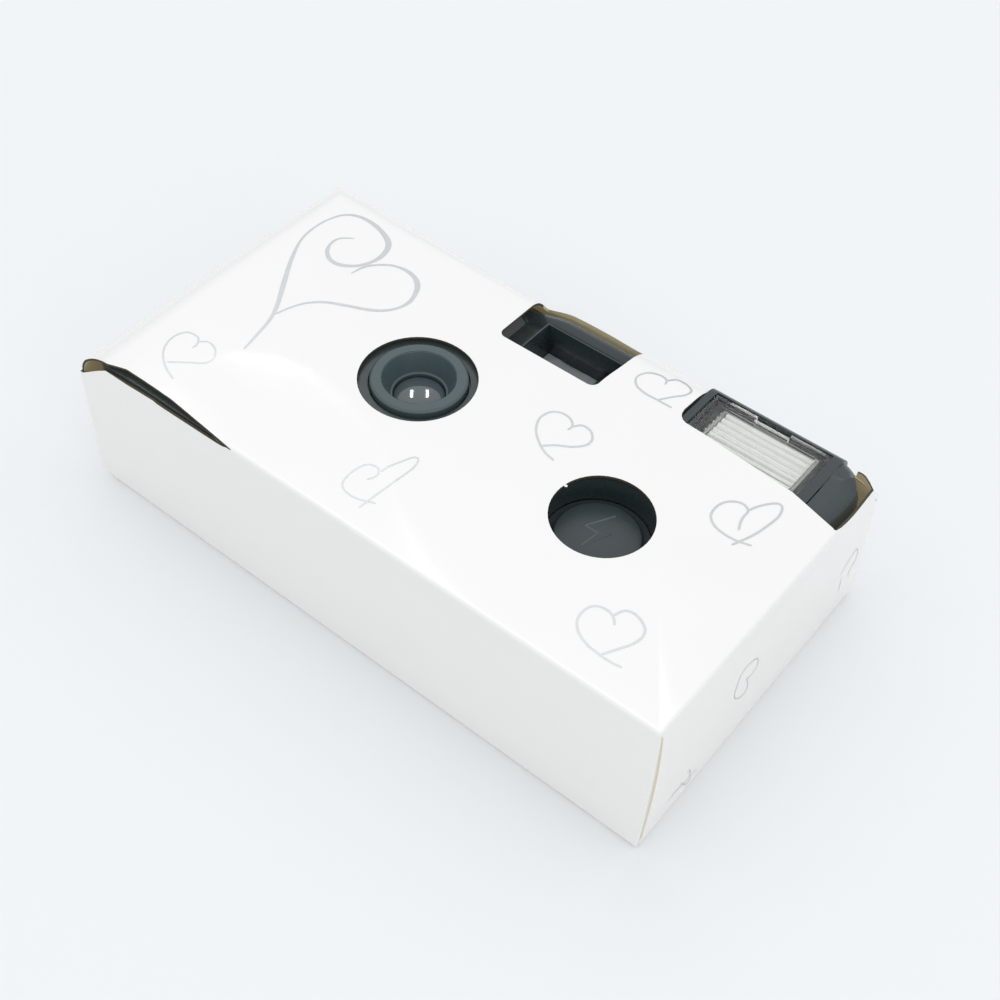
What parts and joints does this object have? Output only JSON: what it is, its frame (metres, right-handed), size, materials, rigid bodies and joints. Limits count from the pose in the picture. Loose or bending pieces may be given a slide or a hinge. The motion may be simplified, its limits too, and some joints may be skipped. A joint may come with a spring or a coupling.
{
  "type": "single-use 35 mm flash camera",
  "caption": "Boxed single-use film camera lying on its back: printed card sleeve over plastic body, ringed lens, flash with sunken switch button, finder, winding wheel, shutter and film path.",
  "frame": {"origin": "middle of the back panel, on the surface the camera lies on", "axes": "+Z out of the taking lens (up, as the camera lies on its back), +X along the length towards the flash end, +Y towards the top with the shutter button"},
  "size_m": [0.118, 0.064, 0.0315],
  "materials": {
    "card_print": "gloss coated outside, raw tan board inside",
    "body_plastic": "fine spark-eroded slate blue grey, satin to gloss",
    "ring_plastic": "satin slate blue grey",
    "frame_plastic": "matt black",
    "optic_plastic": "clear moulded optic",
    "diffuser_plastic": "clear ribbed",
    "reflector_metal": "bright satin",
    "tube_glass": "clear",
    "board_laminate": "paper laminate",
    "capacitor_sleeve": "shrunk sleeve",
    "coil_tape": "taped winding",
    "component_black": "moulded",
    "component_glass": "glass bead",
    "lamp_glass": "neon lamp",
    "battery_jacket": "plain lacquered jacket",
    "contact_metal": "plated strip",
    "spring_steel": "bright",
    "screw_steel": "zinc plated",
    "blade_metal": "matt black",
    "button_plastic": "satin slate blue grey",
    "white_plastic": "natural white",
    "wheel_plastic": "black, knurled rim",
    "can_metal": "plain lacquered can",
    "felt": "black plush",
    "film_base": "unexposed film"
  },
  "bodies": {
    "body": {"card_sleeve": "card_print", "front_cover": "body_plastic", "rear_cover": "frame_plastic", "main_chassis": "frame_plastic", "lens_ring": "ring_plastic", "lens_holder": "frame_plastic", "taking_lens": "optic_plastic", "aperture_plate": "frame_plastic", "blade_spring": "spring_steel", "striker_spring": "spring_steel", "button_spring": "spring_steel", "counter_window": "optic_plastic", "cassette_shell": "can_metal", "cassette_felt": "felt", "film_strip": "film_base", "viewfinder_front_lens": "optic_plastic", "viewfinder_eyepiece": "optic_plastic", "flash_housing": "body_plastic", "flash_diffuser": "diffuser_plastic", "flash_reflector": "reflector_metal", "xenon_tube": "tube_glass", "flash_board": "board_laminate", "flash_capacitor": "capacitor_sleeve", "transformer": "coil_tape", "trigger_coil": "component_black", "power_transistor": "component_black", "rectifier_diode": "component_glass", "ready_lamp": "lamp_glass", "ready_light_pipe": "optic_plastic", "board_screws": "screw_steel", "flash_switch_leaf": "contact_metal", "sync_contact": "contact_metal", "battery": "battery_jacket", "positive_contact": "contact_metal", "negative_contact": "contact_metal"},
    "flash_button": {"flash_button": "button_plastic"},
    "shutter_button": {"shutter_button": "button_plastic"},
    "release_lever": {"release_lever": "white_plastic"},
    "striker": {"striker_lever": "white_plastic"},
    "blade": {"shutter_blade": "blade_metal"},
    "winding_wheel": {"thumbwheel": "wheel_plastic", "cassette_spool": "component_black"},
    "supply_spool": {"supply_spool": "frame_plastic", "film_roll": "film_base"},
    "sprocket": {"sprocket_shaft": "white_plastic"},
    "counter": {"counter_disc": "white_plastic"},
    "pawl": {"ratchet_pawl": "white_plastic"}
  },
  "joints": [
    {"name": "flash_button_press", "type": "slide", "parent": "body", "child": "flash_button", "axis": [0, 0, -1], "range_m": [0, 0.0008], "stiffness_N_per_m": 300, "deforming": ["flash_switch_leaf"]},
    {"name": "shutter_button_press", "type": "slide", "parent": "body", "child": "shutter_button", "axis": [0, -1, 0], "range_m": [0, 0.0015], "stiffness_N_per_m": 400, "deforming": ["button_spring"]},
    {"name": "release_lever_rock", "type": "hinge", "parent": "body", "child": "release_lever", "pos_m": [-0.019, 0.025, 0.016], "axis": [0, 0, 1], "range_deg": [0, 13]},
    {"name": "striker_swing", "type": "hinge", "parent": "body", "child": "striker", "pos_m": [-0.015, 0.0207, 0.0175], "axis": [0, -1, 0], "range_deg": [0, 31], "deforming": ["striker_spring"]},
    {"name": "shutter_blade_swing", "type": "hinge", "parent": "body", "child": "blade", "pos_m": [-0.0175, 0.0115, 0.02347], "axis": [0, 0, 1], "range_deg": [0, 25], "deforming": ["blade_spring"]},
    {"name": "film_winding", "type": "hinge", "parent": "body", "child": "winding_wheel", "pos_m": [-0.0427, 0.0248, 0.0143], "axis": [0, 1, 0], "continuous": true},
    {"name": "supply_spool_turn", "type": "hinge", "parent": "body", "child": "supply_spool", "pos_m": [0.044, -0.0011, 0.0106], "axis": [0, 1, 0], "continuous": true},
    {"name": "sprocket_turn", "type": "hinge", "parent": "body", "child": "sprocket", "pos_m": [-0.021, 0.013, 0.0111], "axis": [0, 1, 0], "continuous": true},
    {"name": "counter_turn", "type": "hinge", "parent": "body", "child": "counter", "pos_m": [-0.015, 0.0285, 0.0083], "axis": [0, 1, 0], "continuous": true},
    {"name": "pawl_lift", "type": "hinge", "parent": "body", "child": "pawl", "pos_m": [-0.0296, 0.0246, 0.0266], "axis": [0, 1, 0], "range_deg": [0, 8], "stiffness_Nm_per_rad": 0.0005}
  ],
  "couplings": [
    {"joint": "release_lever_rock", "follows": "shutter_button_press", "rad_per_m": 148},
    {"joint": "striker_swing", "follows": "shutter_button_press", "rad_per_m": 349},
    {"joint": "shutter_blade_swing", "follows": "shutter_button_press", "rad_per_m": 279.2},
    {"joint": "supply_spool_turn", "follows": "film_winding", "ratio": 0.61},
    {"joint": "sprocket_turn", "follows": "film_winding", "ratio": 0.909},
    {"joint": "counter_turn", "follows": "film_winding", "ratio": -0.0303}
  ]
}
